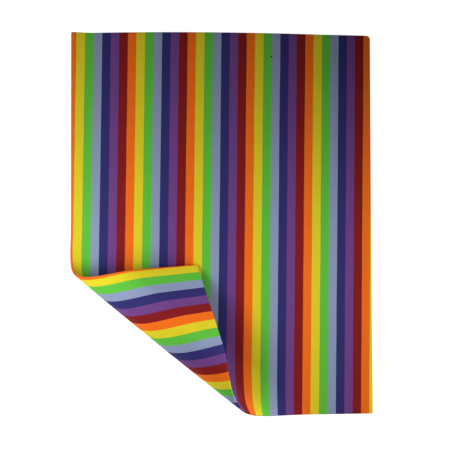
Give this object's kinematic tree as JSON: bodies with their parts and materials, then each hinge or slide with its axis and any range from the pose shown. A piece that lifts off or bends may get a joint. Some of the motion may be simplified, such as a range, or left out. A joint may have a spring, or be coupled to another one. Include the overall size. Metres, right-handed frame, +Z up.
{
  "type": "craft foam sheet",
  "caption": "Thin flexible sheet of striped craft foam, lying flat, with one corner rolled over onto its face; for cutting, gluing and layering.",
  "frame": {"origin": "under the middle of the sheet, on the surface that it rests on", "axes": "+X across the stripes, +Y along the stripes away from the rolled corner, +Z up out of the sheet's face"},
  "size_m": [0.2795, 0.3565, 0.0411],
  "materials": {
    "foam": "matte closed-cell foam, coloured through its thickness in equal stripes: orange, yellow, green, grey lilac, indigo, purple, dark red"
  },
  "bodies": {
    "root": {"foam_sheet": "foam"}
  },
  "joints": []
}
